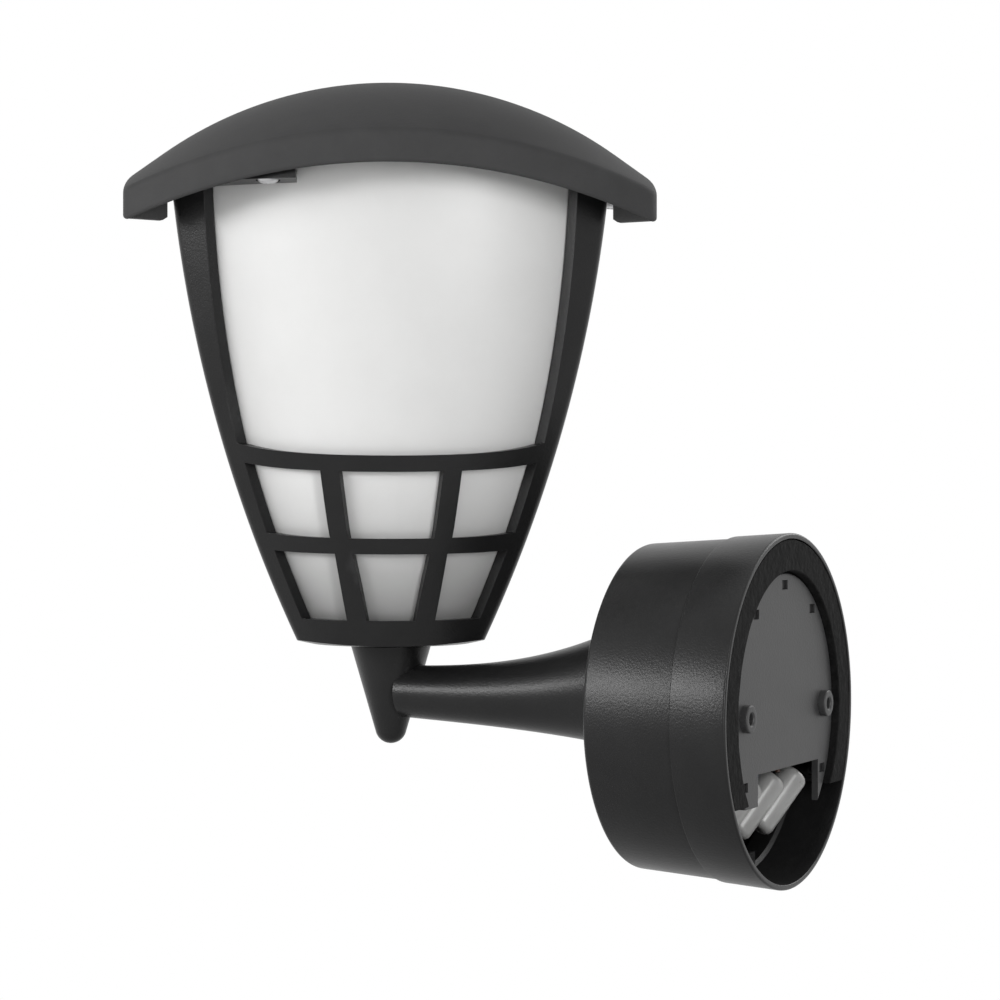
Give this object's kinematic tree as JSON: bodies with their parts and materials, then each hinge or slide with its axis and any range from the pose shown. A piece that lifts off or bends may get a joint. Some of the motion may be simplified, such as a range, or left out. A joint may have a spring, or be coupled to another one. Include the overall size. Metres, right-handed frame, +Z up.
{
  "type": "outdoor wall lantern",
  "caption": "Three-sided wall lantern with a domed roof and barred translucent windows, carried on a horn-shaped arm from a round wall box.",
  "frame": {"origin": "centre of the wall box on the wall plane, midway between the two wall screw holes", "axes": "+Y into the wall, +Z up, +X to the right when the light is seen from the front"},
  "size_m": [0.2042, 0.262, 0.3083],
  "materials": {
    "black_plastic": "fine satin grain",
    "roof_plastic": "fine satin grain",
    "plate_plastic": "smooth satin",
    "opal_plastic": "smooth translucent",
    "terminal_plastic": "smooth translucent",
    "holder_plastic": "satin",
    "insert_ceramic": "glazed",
    "foam": "closed-cell foam",
    "seal_rubber": "matt",
    "zinc_steel": "bright zinc",
    "brass": "bright brass",
    "lamp_metal": "bright",
    "lamp_glass": "frosted glass",
    "wire_brown": "smooth",
    "wire_blue": "smooth"
  },
  "bodies": {
    "lantern": {"frame": "black_plastic", "diffuser": "opal_plastic", "roof_screws": "zinc_steel", "holder_shell": "holder_plastic", "holder_insert": "insert_ceramic", "contact_shell": "brass", "centre_contact": "brass", "nipple": "zinc_steel", "nipple_nut": "zinc_steel", "nipple_washer": "zinc_steel", "spigot_gasket": "seal_rubber", "arm": "black_plastic", "arm_screws": "zinc_steel", "wall_cup": "black_plastic", "wall_ring": "black_plastic", "box_screws": "zinc_steel", "rear_plate": "plate_plastic", "wall_gasket": "foam", "terminal_block": "terminal_plastic", "terminal_screws": "brass", "wire_live": "wire_brown", "wire_neutral": "wire_blue"},
    "roof": {"roof_cap": "roof_plastic", "roof_gasket": "seal_rubber"},
    "lamp": {"lamp_bulb": "lamp_glass", "lamp_cap": "lamp_metal"}
  },
  "joints": [
    {"name": "roof_lift", "type": "slide", "parent": "lantern", "child": "roof", "axis": [0, 0, 1], "range_m": [0, 0.27]},
    {"name": "lamp_unscrew", "type": "slide", "parent": "lantern", "child": "lamp", "axis": [0, 0, 1], "range_m": [0, 0.03]}
  ]
}
